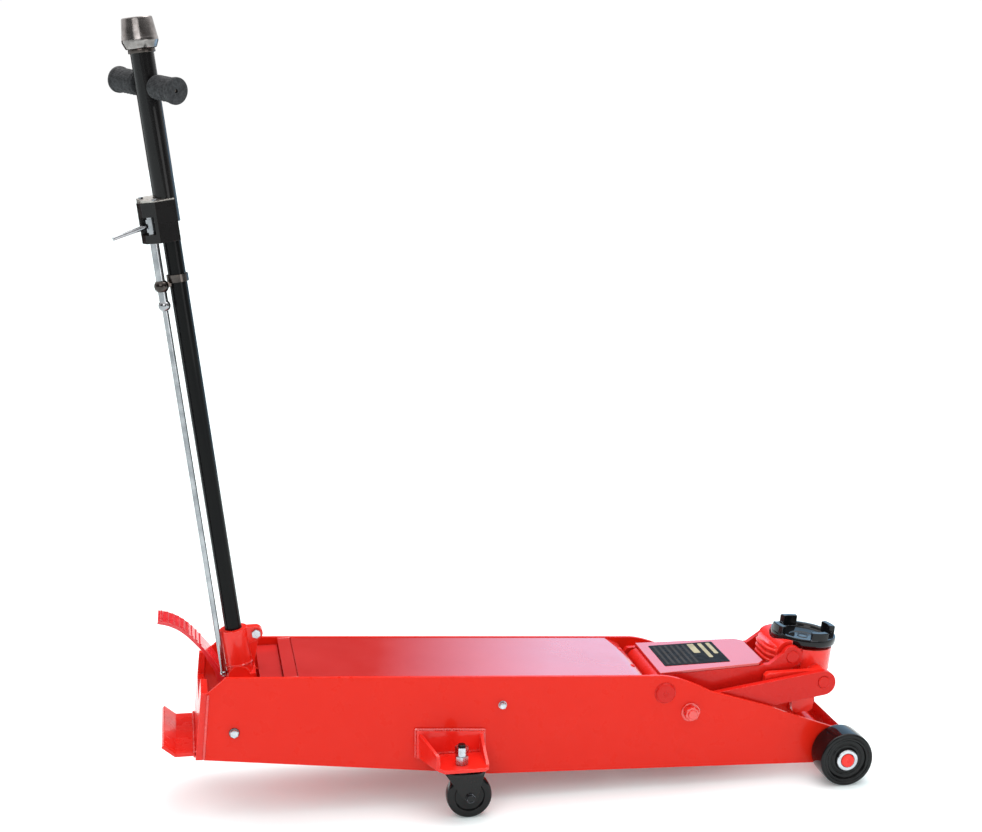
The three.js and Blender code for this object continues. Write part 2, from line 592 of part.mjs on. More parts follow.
add(
  "upper_tube",
  cut(
    tubeZ(UPPER_TUBE.from, UPPER_TUBE.to, UPPER_TUBE.r, 36),
    tubeZ(UPPER_TUBE.from - 5, LOWER_TUBE.to + 4, UPPER_TUBE.bore, 36),
    pinY([0, 0], TEE.barR + GAP, -40, 40, 24).applyMatrix4(tee.matrix),
  ),
  BLACK,
  handle,
);
add(
  "end_cap",
  turned(
    [[0, 1252.4], [31, 1252.4], [37, 1267], [37, 1272], [31, 1315], [24, 1315], [21, 1300], [0, 1300]],
    36,
  ).rotateX(Math.PI / 2),
  STEEL,
  handle,
);
add("tee_bar", pinY([0, 0], TEE.barR, -TEE.half, TEE.half, 24), STEEL, tee);
for (const [side, sign] of SIDES) {
  const { barR, half, gripR, flangeR } = TEE;
  const profile = [
    [barR + GAP, 29], [21.5, 29], [21.5, 33], [gripR, 35], [gripR, half - 3], [flangeR, half - 2],
    [flangeR, half + 5], [4, half + 5], [4, half + GAP], [barR + GAP, half + GAP], [barR + GAP, 29],
  ];
  add(`grip_${side}`, turned(profile.map(([r, y]) => [r, sign * y]), 32), RUBBER, tee);
}

// ---------------------------------------------------------------- release gear on the handle
{
  const { offset, blockFrom, blockTo, rodR } = RELEASE;
  const corners = [[-57, -6], [-55, 24], [-38, -36], [9, -30], [9, 31], [-30, 34]];
  const body = hull([blockFrom, blockTo].flatMap((z) => corners.map(([x, y]) => [x, y, z])));
  // The lever sweeps through a fan-shaped slot in the block's rear face.
  const turns = [-0.45, -0.2, 0, 0.3, 0.6, 0.9, 1.2];
  const fan = turns.map((turn) => [offset - 60 * Math.cos(turn), -60 * Math.sin(turn)]);
  const leverSlot = join(
    hull([880, 916].flatMap((z) => [...fan, [offset + 9, 9], [offset + 9, -9]].map(([x, y]) => [x, y, z]))),
    rod([offset, 0, 880], [offset, 0, 916], 12.3),
  );
  add(
    "release_block",
    cut(
      body,
      tubeZ(blockFrom - 5, UPPER_TUBE.from - 0.4, LOWER_TUBE.r + GAP, 32),
      tubeZ(UPPER_TUBE.from - 0.5, blockTo + 5, UPPER_TUBE.r + GAP, 36),
      rod([offset, 0, blockFrom - 5], [offset, 0, blockTo - 14], rodR + 0.4),
      leverSlot,
    ),
    BLACK,
    handle,
  );
  const lever = rod([offset - 11, 0, 898], [offset - 88, -6, 884], 5.5, 3.8, 14);
  const knuckle = rod([offset, 0, 885], [offset, 0, 911], 11.5, 11.5, 24);
  const balls = new THREE.SphereGeometry(12.5, 20, 12).translate(offset, 0, 730);
  add(
    "release_rod",
    join(
      rod([offset, 0, 738], [offset, 0, blockTo - 17], rodR - 0.2),
      balls,
      rod([offset, 0, -86], [offset, 0, 730], RELEASE.thinR, RELEASE.thinR, 16),
      new THREE.SphereGeometry(8, 16, 10).translate(offset, 0, -90),
      knuckle,
      lever,
    ),
    CHROME,
    handle,
  );
  const guideAt = 771;
  const guide = join(
    new THREE.SphereGeometry(15, 24, 14).translate(offset, 0, guideAt),
    hull([-5, 5].flatMap((y) => [[-28, 4], [0, 20], [-28, -6], [0, 4]].map(([x, z]) => [x, y, guideAt + z]))),
    tubeZ(guideAt + 4, guideAt + 20, LOWER_TUBE.r + 4, 32),
  );
  add(
    "rod_guide",
    cut(
      guide,
      rod([offset, 0, guideAt - 30], [offset, 0, guideAt + 30], rodR + 0.4),
      tubeZ(guideAt - 30, guideAt + 30, LOWER_TUBE.r + GAP, 32),
    ),
    STEEL,
    handle,
  );
}

// ---------------------------------------------------------------- foot pedal
{
  const [sx, sz] = PEDAL_SHAFT;
  const middle = (PEDAL.inner + PEDAL.outer) / 2;
  const curve = new THREE.CatmullRomCurve3(
    [
      [-1531, 396], [-1510, 391], [-1485, 379], [-1463, 361],
      [-1442, 338], [-1421, 312], [-1402, 284], [-1388, 255],
    ].map(([x, z]) => new THREE.Vector3(x, 0, z)),
  ).getPoints(18);
  const under = curve.map((p, i) => {
    const [before, after] = [curve[Math.max(i - 1, 0)], curve[Math.min(i + 1, curve.length - 1)]];
    const normal = new THREE.Vector3(after.z - before.z, 0, before.x - after.x).normalize();
    return p.clone().addScaledVector(normal, 7);
  });
  const edge = [...curve, ...under.reverse()].map((p) => [p.x, p.z]);
  const tread = acrossY(outline(edge), PEDAL.inner, PEDAL.outer);
  const rib = outline([
    [-1462, 352], [-1406, 283], [-1390, 250], [sx + 14, sz + 8],
    [sx - 16, sz + 8], [-1412, 270], [-1440, 318],
  ]);
  const ribs = [middle - 18, middle + 10].map((y) => acrossY(rib, y, y + 8));
  const hub = pinY(PEDAL_SHAFT, 20, middle - 22, middle + 22, 28);
  const finger = acrossY(barOutline(PEDAL_SHAFT, 16, [sx, sz - PEDAL.finger], 9), 52, 68);
  add("foot_pedal", cut(join(tread, ...ribs, hub, finger), pinY(PEDAL_SHAFT, 10.4, 0, 140, 28)), RED);
}

export default jack;
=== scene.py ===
import json
import math
import random

import bmesh
import bpy
from mathutils import Matrix, Vector


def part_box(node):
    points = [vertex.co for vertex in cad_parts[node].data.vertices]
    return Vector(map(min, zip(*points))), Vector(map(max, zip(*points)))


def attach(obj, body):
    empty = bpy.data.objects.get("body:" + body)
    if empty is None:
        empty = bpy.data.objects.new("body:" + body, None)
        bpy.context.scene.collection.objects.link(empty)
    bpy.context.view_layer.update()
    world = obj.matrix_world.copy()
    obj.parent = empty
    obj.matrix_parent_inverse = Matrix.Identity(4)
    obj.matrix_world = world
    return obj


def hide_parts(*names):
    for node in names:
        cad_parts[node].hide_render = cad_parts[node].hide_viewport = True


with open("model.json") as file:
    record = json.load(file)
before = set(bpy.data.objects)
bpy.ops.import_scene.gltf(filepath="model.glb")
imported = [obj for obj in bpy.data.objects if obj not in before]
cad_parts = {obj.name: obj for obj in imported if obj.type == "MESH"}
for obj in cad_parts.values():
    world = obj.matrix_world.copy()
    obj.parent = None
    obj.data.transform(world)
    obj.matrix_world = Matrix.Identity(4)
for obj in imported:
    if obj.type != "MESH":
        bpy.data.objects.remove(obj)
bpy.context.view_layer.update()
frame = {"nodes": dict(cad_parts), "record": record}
random.seed(7)
MM = 0.001


# ------------------------------------------------------------------ places
def middle(node):
    low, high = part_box(node)
    return (Vector(low) + Vector(high)) / 2


AXLE = middle("front_axle")
SIGN = {"right": -1, "left": 1}


def at(x, y, z):
    """A point given in millimetres, with x measured from the front axle."""
    return Vector((AXLE.x + x * MM, y * MM, z * MM))


JOINTS = {joint["name"]: joint for joint in frame["record"]["behaviour"]["joints"]}
RELEASE_AXIS, SADDLE_AXIS = JOINTS["release_turn"]["axis"], JOINTS["saddle_turn"]["axis"]
# The handle's own frame: Z up its tube and -X towards the release rod.
HANDLE = (
    Matrix.Translation(at(-1368, 0, 381))
    @ Matrix.Rotation(math.atan2(RELEASE_AXIS[0], RELEASE_AXIS[2]), 4, "Y")
    @ Matrix.Rotation(math.radians(22), 4, "Z")
)
# The cross bar's frame: Y along the bar.
TEE = (
    HANDLE
    @ Matrix.Translation((0, 0, 1.1796))
    @ Matrix.Rotation(math.radians(11.4), 4, "Z")
    @ Matrix.Rotation(math.radians(10.4), 4, "X")
)
# The saddle's frame: Z along its turning axis, which leans forwards a little.
CUP = Matrix.Translation(JOINTS["saddle_turn"]["pos_m"]) @ Matrix.Rotation(
    math.atan2(SADDLE_AXIS[0], SADDLE_AXIS[2]), 4, "Y"
)
OUTWARDS = {sign: Matrix.Rotation(math.radians(-90 * sign), 4, "X") for sign in (-1, 1)}


# ------------------------------------------------------------------ materials
NOISE_ROUGHNESS = 0.55
RANGE_SOCKETS = ("From Min", "From Max", "To Min", "To Max")
# The colour sockets of a Mix node, whose names it shares with its other kinds of data.
MIX_FIRST = 6
MIX_SECOND = 7
MIX_RESULT = 2
EDGE_HIGHLIGHT_REACH = 0.0016  # metres from an edge within which a painted highlight lightens the paint


class Nodes:
    """A short way to write a material's node tree."""

    def __init__(self, name):
        self.material = bpy.data.materials.new(name)
        self.material.use_nodes = True
        self.tree = self.material.node_tree
        self.shader = self.tree.nodes["Principled BSDF"]
        self.place = self.add("ShaderNodeTexCoord").outputs["Object"]

    def add(self, kind, **values):
        node = self.tree.nodes.new(kind)
        for key, value in values.items():
            setattr(node, key, value)
        return node

    def link(self, source, target):
        self.tree.links.new(source, target)

    def noise(self, scale, detail, stretch=None):
        node = self.add("ShaderNodeTexNoise")
        node.inputs["Scale"].default_value = scale
        node.inputs["Detail"].default_value = detail
        node.inputs["Roughness"].default_value = NOISE_ROUGHNESS
        place = self.place
        if stretch:
            mapping = self.add("ShaderNodeMapping")
            mapping.inputs["Scale"].default_value = stretch
            self.link(place, mapping.inputs["Vector"])
            place = mapping.outputs["Vector"]
        self.link(place, node.inputs["Vector"])
        return node.outputs["Fac"]

    def remap(self, source, low, high, to_low, to_high):
        node = self.add("ShaderNodeMapRange")
        for socket, value in zip(RANGE_SOCKETS, (low, high, to_low, to_high)):
            node.inputs[socket].default_value = value
        self.link(source, node.inputs["Value"])
        return node.outputs["Result"]

    def mix(self, factor, first, second):
        node = self.add("ShaderNodeMix", data_type="RGBA")
        self.link(factor, node.inputs["Factor"])
        for socket, value in ((node.inputs[MIX_FIRST], first), (node.inputs[MIX_SECOND], second)):
            if isinstance(value, tuple):
                socket.default_value = (*value, 1)
            else:
                self.link(value, socket)
        return node.outputs[MIX_RESULT]

    def edges(self, radius):
        """1 along outer and inner edges, 0 on open faces."""
        rounded = self.add("ShaderNodeBevel", samples=4)
        rounded.inputs["Radius"].default_value = radius
        true = self.add("ShaderNodeNewGeometry")
        dot = self.add("ShaderNodeVectorMath", operation="DOT_PRODUCT")
        self.link(rounded.outputs["Normal"], dot.inputs[0])
        self.link(true.outputs["Normal"], dot.inputs[1])
        return self.remap(dot.outputs["Value"], 0.99, 0.8, 0, 1)

    def bump(self, height, strength, distance):
        node = self.add("ShaderNodeBump")
        node.inputs["Strength"].default_value = strength
        node.inputs["Distance"].default_value = distance
        self.link(height, node.inputs["Height"])
        self.link(node.outputs["Normal"], self.shader.inputs["Normal"])

    def set(self, **values):
        for name, value in values.items():
            self.shader.inputs[name.replace("_", " ")].default_value = value


def enamel(
    name, colour, deep, rough, peel, edge=None, coat=1.0, coat_ior=1.5, peel_scale=260, spots=0.0, level=0.3
):
    """Gloss paint: slow colour drift, uneven gloss, orange peel, a painted highlight along the edges."""
    n = Nodes(name)
    drift = n.remap(n.noise(5, 4), 0.35, 0.65, 0, 1)
    base = n.mix(drift, colour, deep)
    # Painted highlight: the lighter edge colour is laid along the edges and broken up by noise.
    if edge:
        edge_highlight = n.add("ShaderNodeMath", operation="MULTIPLY")
        n.link(n.edges(EDGE_HIGHLIGHT_REACH), edge_highlight.inputs[0])
        n.link(n.remap(n.noise(90, 5), 0.42, 0.62, 0.0, 0.75), edge_highlight.inputs[1])
        base = n.mix(edge_highlight.outputs["Value"], base, edge)
    if spots:
        darker = tuple(0.35 * c for c in deep)
        base = n.mix(n.remap(n.noise(420, 2), 0.68, 0.74, 0, spots), base, darker)
    n.link(base, n.shader.inputs["Base Color"])
    n.link(n.remap(n.noise(22, 4), 0.3, 0.7, rough * 0.75, rough * 1.35), n.shader.inputs["Roughness"])
    n.bump(n.noise(peel_scale, 2), peel, 0.0006)
    n.set(Coat_Weight=coat, Coat_Roughness=0.06, Coat_IOR=coat_ior, Specular_IOR_Level=level)
    return n.material


def metal(name, colour, dark, rough, stretch, scale, depth, stain=None):
    """Bare metal: fine machining grain, uneven polish and a little staining."""
    n = Nodes(name)
    base = n.mix(n.remap(n.noise(40, 5), 0.35, 0.7, 0, 1), colour, dark)
    if stain:
        base = n.mix(n.remap(n.noise(120, 6), 0.58, 0.72, 0, 0.6), base, stain)
    n.link(base, n.shader.inputs["Base Color"])
    grain = n.noise(scale, 3, stretch)
    n.link(n.remap(grain, 0.25, 0.75, rough * 0.6, rough * 1.5), n.shader.inputs["Roughness"])
    n.bump(grain, depth, 0.0003)
    n.set(Metallic=1.0)
    return n.material


# Each edge colour below is a painted highlight along that paint's edges.
PANEL_RED = enamel(
    "panel_enamel", (0.74, 0.017, 0.006), (0.725, 0.0158, 0.0056), rough=0.3, peel=0.025,
    edge=(0.86, 0.1, 0.08), coat=0.16, level=0.1,
)
RED = enamel(
    "red_enamel", (0.76, 0.017, 0.008), (0.68, 0.012, 0.006), rough=0.28, peel=0.04,
    edge=(0.88, 0.16, 0.16), coat=0.3, level=0.2,
)
LINK_RED = enamel(
    "link_enamel", (0.64, 0.013, 0.008), (0.57, 0.01, 0.006), rough=0.28, peel=0.08,
    edge=(0.86, 0.2, 0.19), coat=0.2, level=0.12,
)
GLOSS_RED = enamel(
    "gloss_enamel", (0.84, 0.02, 0.01), (0.72, 0.012, 0.006), rough=0.2, peel=0.2,
    edge=(0.95, 0.5, 0.46), coat=1.0, coat_ior=1.7,
)
TREAD_RED = enamel(
    "tread_enamel", (0.8, 0.03, 0.04), (0.5, 0.006, 0.008), rough=0.3, peel=0.5,
    edge=(0.92, 0.42, 0.44), coat=0.7, coat_ior=1.5, peel_scale=160, spots=0.8,
)
# A darker copy of the red paint for the upward-facing covers and deck: painted shade that offsets the top
# light and the cool card's glare.
COVER_RED = enamel(
    "cover_enamel", (0.58, 0.032, 0.03), (0.53, 0.024, 0.022), rough=0.2, peel=0.02,
    edge=(0.85, 0.3, 0.36), coat=1.0, coat_ior=1.55,
)
CAST_RED = enamel(
    "casting_enamel", (0.92, 0.026, 0.014), (0.76, 0.014, 0.008), rough=0.3, peel=0.5,
    edge=(0.92, 0.3, 0.26), coat=0.4, coat_ior=1.5, peel_scale=120, level=0.2,
)
WELD_RED = enamel(
    "weld_enamel", (0.78, 0.03, 0.022), (0.6, 0.01, 0.008), rough=0.25, peel=0.3,
    coat=1.0, coat_ior=1.6, peel_scale=320,
)
BLACK = enamel(
    "black_enamel", (0.004, 0.0038, 0.004), (0.007, 0.006, 0.006), rough=0.24, peel=0.08,
    edge=(0.07, 0.05, 0.04), coat=0.35, coat_ior=1.4, level=0.15,
)
# A darker, less glossy copy of the black paint for the lower tube: painted shade.
DEEP_BLACK = enamel(
    "deep_black", (0.003, 0.003, 0.0034), (0.005, 0.005, 0.005), rough=0.2, peel=0.05,
    edge=(0.04, 0.03, 0.03), coat=0.14, coat_ior=1.4, level=0.06,
)
# Its bluish-white edge colour is a painted highlight on the saddle's rim and the caster nuts.
GLOSS_BLACK = enamel(
    "gloss_black", (0.004, 0.004, 0.005), (0.007, 0.007, 0.008), rough=0.13, peel=0.06,
    edge=(0.42, 0.45, 0.52), coat=0.36, coat_ior=1.5, level=0.1,
)
WHEEL_BLACK = enamel(
    "wheel_black", (0.004, 0.004, 0.0045), (0.007, 0.007, 0.007), rough=0.14, peel=0.05,
    edge=(0.03, 0.03, 0.034), coat=0.32, coat_ior=1.5, peel_scale=200, spots=0.2, level=0.08,
)
CHROME = metal(
    "chrome", (0.4, 0.405, 0.42), (0.24, 0.245, 0.26), rough=0.13,
    stretch=(1, 1, 0.1), scale=500, depth=0.05,
)
ZINC = metal(
    "zinc", (0.6, 0.62, 0.65), (0.4, 0.42, 0.46), rough=0.24,
    stretch=(1, 1, 1), scale=400, depth=0.12, stain=(0.32, 0.3, 0.28),
)
BRIGHT_STEEL = metal(
    "bright_steel", (0.5, 0.49, 0.48), (0.34, 0.33, 0.33), rough=0.2,
    stretch=(1, 1, 6), scale=260, depth=0.15, stain=(0.25, 0.2, 0.17),
)
DARK_STEEL = metal(
    "dark_steel", (0.1, 0.085, 0.078), (0.04, 0.035, 0.033), rough=0.2,
    stretch=(1, 1, 0.06), scale=60, depth=0.1, stain=(0.2, 0.15, 0.12),
)
CAP_STEEL = metal(
    "cap_steel", (0.36, 0.33, 0.32), (0.13, 0.12, 0.115), rough=0.22,
    stretch=(1, 1, 0.06), scale=70, depth=0.15, stain=(0.16, 0.12, 0.1),
)
BLOCK_TOP = metal(
    "milled_face", (0.52, 0.5, 0.47), (0.36, 0.33, 0.3), rough=0.34,
    stretch=(12, 1, 1), scale=160, depth=0.25, stain=(0.2, 0.15, 0.12),
)


def grip_material():
    n = Nodes("grip_rubber")
    base = n.mix(n.remap(n.noise(160, 5), 0.35, 0.65, 0, 1), (0.012, 0.0125, 0.014), (0.04, 0.041, 0.044))
    n.link(base, n.shader.inputs["Base Color"])
    n.link(n.remap(n.noise(60, 3), 0.3, 0.7, 0.5, 0.8), n.shader.inputs["Roughness"])
    n.bump(n.noise(900, 3), 0.4, 0.0004)
    n.set(Specular_IOR_Level=0.3)
    return n.material


RUBBER = grip_material()


def print_material(name, colour, other, scale, coat):
    """A printed film: flat colour broken by faint scuffs, under a clear gloss layer."""
    n = Nodes(name)
    scuffs = n.remap(n.noise(scale, 4), 0.4, 0.62, 0, 1)
    n.link(n.mix(scuffs, colour, other), n.shader.inputs["Base Color"])
    n.link(n.remap(n.noise(70, 4), 0.3, 0.7, 0.25, 0.45), n.shader.inputs["Roughness"])
    n.set(Coat_Weight=coat, Coat_Roughness=0.12, IOR=1.15, Specular_IOR_Level=0.15)
    return n.material


FILM = print_material("label_film", (0.008, 0.006, 0.006), (0.014, 0.01, 0.009), 90, 0.02)
FILM_BAND = print_material("label_band", (0.4, 0.34, 0.2), (0.3, 0.25, 0.14), 40, 0.3)
FILM_LINE = print_material("label_line", (0.045, 0.038, 0.034), (0.035, 0.03, 0.027), 40, 0.02)


# ------------------------------------------------------------------ mesh work
SAME_POINT = 2e-6  # metres between CAD points that are welded into one
FLAT_ANGLE = 0.8  # degrees under which CAD faces are joined into one


def finish_piece(name, bm, material, body, replaces=(), bevel=0.0, segments=3, angle=35):
    """Turns a bmesh into a piece of the jack that rides on a body."""
    bmesh.ops.recalc_face_normals(bm, faces=bm.faces)
    for face in bm.faces:
        face.smooth = True
    for edge in bm.edges:
        edge.smooth = len(edge.link_faces) != 2 or edge.calc_face_angle(0) < math.radians(angle)
    mesh = bpy.data.meshes.new(name)
    bm.to_mesh(mesh)
    bm.free()
    mesh.materials.append(material)
    piece = bpy.data.objects.new(name, mesh)
    bpy.context.scene.collection.objects.link(piece)
    if bevel:
        rounding = piece.modifiers.new("edges", "BEVEL")
        rounding.width = bevel * MM
        rounding.segments = segments
        rounding.limit_method = "ANGLE"
        rounding.angle_limit = math.radians(angle)
        rounding.harden_normals = True
    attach(piece, body)
    if replaces:
        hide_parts(*replaces)


BODY_OF = {node: body for body, nodes in frame["record"]["behaviour"]["bodies"].items() for node in nodes}
SLOT_OF = {part["node"]: part["material_slot"] for part in frame["record"]["subparts"]}
SLOT_OF["link_pin"] = "frame_paint"  # painted over with the link bars


def refined(node, material, bevel):
    """A CAD node's shape with rounded edges and smooth shading, in its place."""
    source = frame["nodes"][node]
    bm = bmesh.new()
    bm.from_mesh(source.data)
    bm.transform(source.matrix_world)
    bmesh.ops.remove_doubles(bm, verts=bm.verts, dist=SAME_POINT)
    bmesh.ops.dissolve_limit(bm, angle_limit=math.radians(FLAT_ANGLE), verts=bm.verts, edges=bm.edges)
    finish_piece(node + "_finished", bm, material, BODY_OF[node], [node], bevel)


def lathe(bm, profile, matrix, steps=64, closed=False, relief=None):
    """Turns a profile of (radius, height) in millimetres about the matrix's Z.

    relief(angle, height) adds to the radius.
    """
    rings = []
    for radius, height in profile:
        if radius < 1e-6:
            rings.append([bm.verts.new(matrix @ Vector((0, 0, height * MM)))])
            continue
        ring = []
        for i in range(steps):
            angle = 2 * math.pi * i / steps
            r = (radius + (relief(angle, height) if relief else 0)) * MM
            point = Vector((r * math.cos(angle), r * math.sin(angle), height * MM))
            ring.append(bm.verts.new(matrix @ point))
        rings.append(ring)
    pairs = list(zip(rings, rings[1:]))
    if closed:
        pairs.append((rings[-1], rings[0]))
    for a, b in pairs:
        for i in range(steps):
            j = (i + 1) % steps
            corners = [a[0]] if len(a) == 1 else [a[i], a[j]]
            corners += [b[0]] if len(b) == 1 else [b[j], b[i]]
            if len(corners) > 2:
                bm.faces.new(corners)


def fillet(points, radius, steps=4, closed=False):
    """Rounds the corners of a line of 2D points."""
    out = []
    count = len(points)
    for i, point in enumerate(points):
        here = Vector(point)
        if not closed and i in (0, count - 1):
            out.append(tuple(here))
            continue
        before, after = Vector(points[i - 1]) - here, Vector(points[(i + 1) % count]) - here
        reach = min(radius, before.length * 0.45, after.length * 0.45)
        start, end = here + before.normalized() * reach, here + after.normalized() * reach
        for k in range(steps + 1):
            t = k / steps
            out.append(tuple(start * (1 - t) ** 2 + here * 2 * t * (1 - t) + end * t * t))
    return out


def prism(bm, outline, low, high, place):
    """Extrudes a closed 2D outline. place(u, v, w) gives the point in metres."""
    bottom = [bm.verts.new(place(u, v, low)) for u, v in outline]
    top = [bm.verts.new(place(u, v, high)) for u, v in outline]
    bm.faces.new(bottom)
    bm.faces.new(top[::-1])
    for i in range(len(outline)):
        j = (i + 1) % len(outline)
        bm.faces.new((bottom[j], bottom[i], top[i], top[j]))


def xz(u, v, w):
    """An outline drawn from the side: u from the axle, v up, w across."""
    return at(u, w, v)


def cup_point(u, v, w):
    return CUP @ Vector((u * MM, v * MM, w * MM))


def pipe(bm, points, radius, steps=12):
    """A closed round bar along points, with a radius in millimetres, or one radius for each point."""
    radii = radius if isinstance(radius, list) else [radius] * len(points)
    rings = []
    side = None
    for i, point in enumerate(points):
        along = (points[min(i + 1, len(points) - 1)] - points[max(i - 1, 0)]).normalized()
        if side is None:
            side = along.orthogonal().normalized()
        side = (side - along * side.dot(along)).normalized()
        other = along.cross(side)
        ring = []
        for k in range(steps):
            angle = 2 * math.pi * k / steps
            across = side * math.cos(angle) + other * math.sin(angle)
            ring.append(bm.verts.new(point + across * radii[i] * MM))
        rings.append(ring)
    for a, b in zip(rings, rings[1:]):
        for k in range(steps):
            bm.faces.new((a[k], a[(k + 1) % steps], b[(k + 1) % steps], b[k]))
    bm.faces.new(rings[0][::-1])
    bm.faces.new(rings[-1])


WELD_STEP = 0.0017  # metres between the rings of points along a bead
WELD_RIPPLE = 0.0062  # metres from one ripple to the next


def weld(bm, corners, radius):
    """A rippled weld bead along corner points in metres."""
    points, radii, travelled = [], [], 0.0
    for start, end in zip(corners, corners[1:]):
        length = (end - start).length
        count = max(2, int(length / WELD_STEP))
        for k in range(count):
            points.append(start.lerp(end, k / count))
            s = travelled + length * k / count
            ripple = 0.13 * math.sin(s / WELD_RIPPLE * 2 * math.pi)
            radii.append(radius * (0.92 + ripple + random.uniform(-0.05, 0.05)))
        travelled += length
    points.append(corners[-1])
    radii.append(radius * 0.8)
    pipe(bm, points, radii, 8)


def ring_points(matrix, radius, steps=40):
    return [
        matrix @ Vector((radius * MM * math.cos(a), radius * MM * math.sin(a), 0))
        for a in (math.radians(360.0 * k / steps) for k in range(steps + 1))
    ]


def hex_head(bm, matrix, across, height, turn=0.0, dome=0.0):
    """A chamfered hexagon, with a low dome or dimple on top."""
    corner = across / math.sqrt(3)
    rings = [(corner, 0), (corner, height * 0.78), (corner * 0.93, height), (corner * 0.6, height + dome)]
    made = []
    for radius, z in rings:
        made.append([
            bm.verts.new(matrix @ Vector((radius * MM * math.cos(a), radius * MM * math.sin(a), z * MM)))
            for a in (turn + math.pi / 3 * k for k in range(6))
        ])
    bm.faces.new(made[0][::-1])
    bm.faces.new(made[-1])
    for a, b in zip(made, made[1:]):
        for k in range(6):
            bm.faces.new((a[k], a[(k + 1) % 6], b[(k + 1) % 6], b[k]))


def washer(bm, matrix, inner, outer, thick):
    ring = fillet([(inner, 0), (outer, 0), (outer, thick), (inner, thick)], thick * 0.3, 3, True)
    lathe(bm, ring, matrix, 48, True)


# ------------------------------------------------------------------ every CAD node gets its finish
FINISH = [
    (PANEL_RED, 1.2, "side_plate_right side_plate_left"),
    (RED, 1.2, "rear_cross_plate rear_step front_cross_plate"),
    (COVER_RED, 1.6, "main_cover arm_cover rear_crossmember"),
    (LINK_RED, 1.5, "arm_plate_right arm_plate_left arm_tube"),
    (RED, 1.5, "arm_pivot_shaft front_axle link_stud_right link_stud_left"),
    (LINK_RED, 2.6, "link_right link_left head_pin link_pin"),
    (CAST_RED, 1.0, "caster_bracket_right caster_bracket_left"),
    (TREAD_RED, 1.0, "foot_pedal"),
    (CAST_RED, 2.2, "handle_socket power_unit reservoir cylinder"),
    (CAST_RED, 3.2, "saddle_head"),
    (BLACK, 1.0, "caster_fork_right caster_fork_left upper_tube"),
    (DEEP_BLACK, 1.0, "lower_tube"),
    (BLACK, 2.0, "release_block"),
    (CHROME, 0.6, "ram pump_plunger foot_plunger release_rod"),
    (ZINC, 0.8, "valve_stem clamp_bolt kingpin_nut_right kingpin_nut_left"),
    (DARK_STEEL, 0.8, "tee_bar rod_guide"),
    (BRIGHT_STEEL, 0.8, "crank_pin handle_pivot_pin pump_roller"),
]
for material, bevel, names in FINISH:
    for node in names.split():
        refined(node, material, bevel)


# ------------------------------------------------------------------ front wheels and axle ends
for side, sign in SIGN.items():
    wheel = "front_wheel_" + side
    centre = middle(wheel)
    place = Matrix.Translation(centre) @ OUTWARDS[sign]
    outer = [
        (16.2, 31), (26, 31), (27.5, 26), (33, 25.4), (34, 24.2), (36, 24.2), (37, 25.4), (44, 25),
        (47, 30.6),
        (50.6, 31), (51.4, 30), (53, 30), (53.8, 31.4), (58.4, 31.8), (61.2, 30.6), (62.4, 27.6), (62.8, 12),
        (62.95, 0),
    ]
    inner = [(r, -h) for r, h in reversed(outer)][1:]
    bm = bmesh.new()
    lathe(bm, fillet(outer + inner, 1.6, 4, True), place, 96, True)
    finish_piece(wheel + "_turned", bm, WHEEL_BLACK, BODY_OF[wheel], [wheel])
    bm = bmesh.new()
    ring = fillet([(16.4, 30.4), (24.8, 30.4), (24.8, 33), (23, 34.4), (16.4, 34.4)], 0.8, 3, True)
    lathe(bm, ring, place, 64, True)
    finish_piece(f"hub_ring_{side}", bm, ZINC, "frame")
    bm = bmesh.new()
    cap = fillet([(0, 35.6), (4, 35.6), (5, 36.6), (12, 37.2), (15.2, 36), (15.4, 33), (0, 33)], 0.9, 3)
    lathe(bm, cap, place, 48)
    finish_piece(f"axle_end_{side}", bm, CAST_RED, "frame")

# ------------------------------------------------------------------ rear casters
AXLE_NUT_OUT = 0.0225  # metres from a caster wheel's middle to the nuts on its axle

for side, sign in SIGN.items():
    wheel = "caster_wheel_" + side
    centre = middle(wheel)
    place = Matrix.Translation(centre) @ OUTWARDS[sign]
    outer = [
        (6.6, 16), (13, 16), (14.5, 11.5), (31, 10.5), (33.5, 14.6), (44, 15), (48.6, 12.6),
        (49.9, 6), (50, 0),
    ]
    inner = [(r, -h) for r, h in reversed(outer)][1:]
    bm = bmesh.new()
    lathe(bm, fillet(outer + inner, 1.3, 4, True), place, 80, True)
    finish_piece(wheel + "_turned", bm, WHEEL_BLACK, BODY_OF[wheel], [wheel])
    fork = BODY_OF["caster_fork_" + side]
    for end in (-1, 1):
        nut = Matrix.Translation(centre + Vector((0, end * AXLE_NUT_OUT, 0))) @ OUTWARDS[end]
        where = "in" if end == -sign else "out"
        bm = bmesh.new()
        hex_head(bm, nut, 17, 7, 0.3, -1.2)
        washer(bm, nut, 6, 11, 1.6)
        finish_piece(
            f"caster_axle_nut_{side}_{where}", bm, GLOSS_BLACK, fork, bevel=0.5, segments=2
        )

# ------------------------------------------------------------------ saddle
LUG_TURN = 10  # degrees from the front to the first lug's middle
LUG_WIDTH = 34  # degrees
LUG_OUTER = 75.6
LUG_INNER = 61.5
profile = [
    (0, -39), (17.6, -39), (17.6, 1), (66, 1), (75.5, 7), (76.6, 17), (75.4, 23), (66.5, 23), (63.5, 20),
    (61.5, 14), (34, 10.4), (30, 8.8), (12, 8.8), (10, 10.2), (0, 10.2),
]
bm = bmesh.new()
lathe(bm, fillet(profile, 1.8, 4), CUP, 96)
for quarter in range(4):
    around = [math.radians(LUG_TURN + 90 * quarter + LUG_WIDTH * (k / 8 - 0.5)) for k in range(9)]
    plan = [(LUG_OUTER * math.cos(a), LUG_OUTER * math.sin(a)) for a in around]
    plan += [(LUG_INNER * math.cos(a), LUG_INNER * math.sin(a)) for a in reversed(around)]
    prism(bm, plan, 12, 40, cup_point)
finish_piece("saddle_cast", bm, GLOSS_BLACK, "saddle_cup", ["saddle"], 1.8, 3)

